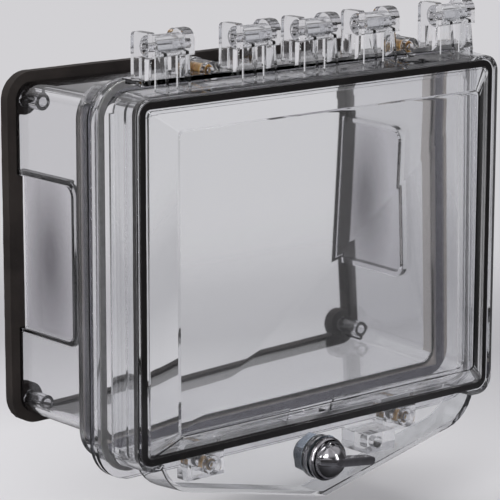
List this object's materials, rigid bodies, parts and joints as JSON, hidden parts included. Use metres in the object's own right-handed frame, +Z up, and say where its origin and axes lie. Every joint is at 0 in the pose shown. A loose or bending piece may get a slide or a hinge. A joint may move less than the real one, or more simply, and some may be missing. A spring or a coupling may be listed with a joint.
{
  "type": "clear thermostat lock box",
  "caption": "Clear hinged lock box that stands over a wall thermostat, with a raised window, a thumb-turn cam lock and a foam wall gasket",
  "frame": {"origin": "centre of the four wall screw holes, on the wall face of the foam gasket", "axes": "X to the right seen from the front, Y from the front to the wall, Z up"},
  "size_m": [0.293, 0.1428, 0.2828],
  "materials": {
    "clear_plastic": "clear moulded polycarbonate",
    "foam": "black closed-cell foam",
    "pale_seal": "pale silicone seal",
    "brass": "knurled brass",
    "steel": "stainless steel",
    "dark_chrome": "dark chrome plate on a zinc casting",
    "black_rubber": "black nitrile rubber",
    "zinc_plate": "bluish zinc plate on steel"
  },
  "bodies": {
    "box": {"back_box": "clear_plastic", "wall_gasket": "foam", "box_seal": "pale_seal", "mounting_frame": "clear_plastic", "frame_inserts": "brass", "flange_screws": "steel", "hinge_pin_1": "clear_plastic", "hinge_pin_2": "clear_plastic", "hinge_pin_3": "clear_plastic", "hinge_pin_4": "clear_plastic", "hinge_pin_5": "clear_plastic"},
    "cover": {"cover": "clear_plastic", "cover_seal": "foam", "lock_body": "dark_chrome", "lock_ring": "black_rubber", "lock_washer": "steel", "lock_nut": "zinc_plate"},
    "thumb_turn": {"lock_plug": "zinc_plate", "plug_o_ring": "black_rubber", "thumb_turn": "dark_chrome", "thumb_turn_pin": "steel", "lock_cam": "zinc_plate", "cam_washer": "steel", "cam_screw": "steel"}
  },
  "joints": [
    {"name": "cover_hinge", "type": "hinge", "parent": "box", "child": "cover", "pos_m": [0, -0.1182, 0.1295], "axis": [-1, 0, 0], "range_deg": [0, 110]},
    {"name": "lock_turn", "type": "hinge", "parent": "cover", "child": "thumb_turn", "pos_m": [0, -0.1295, -0.1207], "axis": [0, -1, 0], "range_deg": [0, 90]}
  ]
}
